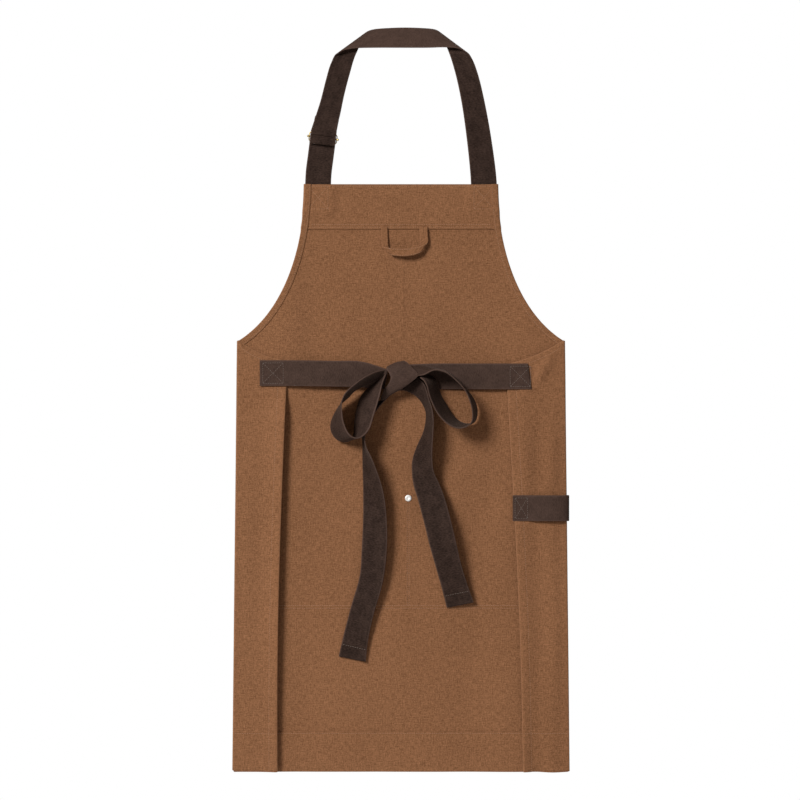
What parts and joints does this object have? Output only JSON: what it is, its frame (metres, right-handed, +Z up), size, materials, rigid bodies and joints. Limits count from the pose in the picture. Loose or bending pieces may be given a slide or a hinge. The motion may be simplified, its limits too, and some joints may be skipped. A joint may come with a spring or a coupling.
{
  "type": "butcher apron",
  "caption": "Full-length canvas bib apron with an adjustable webbing neck strap, folded side wings, waist ties in a bow, a hang loop, a side loop and a divided front pocket.",
  "frame": {"origin": "middle of the lower edge of the neck band, where it rests on the neck or a peg", "axes": "+Z up along the hanging apron, -Y towards the wearer, +X towards the side that carries the side loop"},
  "size_m": [0.513, 0.0709, 1.131],
  "materials": {
    "canvas": "matte mid-brown cotton canvas, plain weave with fine slubs",
    "webbing": "matte dark brown cotton webbing, ribbed weave with firm selvages",
    "brass": "satin brass",
    "nickel": "bright nickel"
  },
  "bodies": {
    "neck_loop": {"neck_strap": "webbing", "strap_anchor": "webbing"},
    "slide": {"slide_frame": "brass", "slide_bar": "brass"},
    "strap_free_end": {"strap_tail": "webbing"},
    "apron": {"body_panel": "canvas", "bib_facing": "canvas", "strap_end_left": "webbing", "strap_end_right": "webbing", "armhole_hem_left": "canvas", "armhole_hem_right": "canvas", "bottom_hem": "canvas", "pocket_panel": "canvas", "pocket_hem": "canvas", "rivet_cap": "nickel", "rivet_back": "nickel", "side_loop_front": "webbing"},
    "hang_loop": {"hang_loop": "canvas"},
    "left_wing": {"wing_panel_left": "canvas", "wing_side_hem_left": "canvas", "wing_top_hem_left": "canvas", "wing_bottom_hem_left": "canvas", "tie_end_left": "webbing"},
    "right_wing": {"wing_panel_right": "canvas", "wing_side_hem_right": "canvas", "wing_top_hem_right": "canvas", "wing_bottom_hem_right": "canvas", "tie_end_right": "webbing", "side_loop_back": "webbing"},
    "waist_tie": {"tie_strand_left": "webbing", "knot_core": "webbing", "knot_wrap": "webbing", "bow_loop_left": "webbing", "bow_loop_right": "webbing", "tail_upper_left": "webbing", "tail_upper_right": "webbing"},
    "right_tie": {"tie_strand_right": "webbing"},
    "left_tail": {"tail_lower_left": "webbing"},
    "right_tail": {"tail_lower_right": "webbing"}
  },
  "joints": [
    {"name": "bib_swing", "type": "hinge", "parent": "neck_loop", "child": "apron", "pos_m": [0, 0, -0.208], "axis": [1, 0, 0], "range_deg": [-45, 45]},
    {"name": "slide_tilt", "type": "hinge", "parent": "neck_loop", "child": "slide", "pos_m": [-0.1184, -0.0028, -0.1376], "axis": [-0.9919, 0, 0.1271], "range_deg": [0, 10]},
    {"name": "free_end_slide", "type": "slide", "parent": "neck_loop", "child": "strap_free_end", "axis": [0.1271, 0, 0.9919], "range_m": [-0.015, 0.015]},
    {"name": "hang_loop_swing", "type": "hinge", "parent": "apron", "child": "hang_loop", "pos_m": [0.0055, -0.001, -0.2762], "axis": [-1, 0, 0], "range_deg": [0, 150]},
    {"name": "left_wing_fold", "type": "hinge", "parent": "apron", "child": "left_wing", "pos_m": [-0.24705, -0.00035, -0.446], "axis": [-0.0107, 0, -0.9999], "range_deg": [0, 25]},
    {"name": "left_tie_swing", "type": "hinge", "parent": "left_wing", "child": "waist_tie", "pos_m": [-0.1743, -0.0039, -0.495], "axis": [0.0107, 0, 0.9999], "range_deg": [0, 25]},
    {"name": "right_wing_fold", "type": "hinge", "parent": "apron", "child": "right_wing", "pos_m": [0.24705, -0.00035, -0.446], "axis": [-0.0107, 0, 0.9999], "range_deg": [0, 21.5]},
    {"name": "right_tie_swing", "type": "hinge", "parent": "right_wing", "child": "right_tie", "pos_m": [0.1614, -0.0039, -0.5], "axis": [0.0107, 0, -0.9999], "range_deg": [0, 21.5]},
    {"name": "left_tail_swing", "type": "hinge", "parent": "waist_tie", "child": "left_tail", "pos_m": [-0.0395, -0.0085, -0.717], "axis": [-0.9191, 0.394, 0], "range_deg": [0, 45]},
    {"name": "right_tail_swing", "type": "hinge", "parent": "waist_tie", "child": "right_tail", "pos_m": [0.0375, -0.0095, -0.6605], "axis": [-0.9795, 0.1851, -0.079], "range_deg": [0, 45]}
  ],
  "couplings": [
    {"joint": "left_tie_swing", "follows": "left_wing_fold", "ratio": 1},
    {"joint": "right_wing_fold", "follows": "left_wing_fold", "ratio": 0.85},
    {"joint": "right_tie_swing", "follows": "left_wing_fold", "ratio": 0.85}
  ]
}
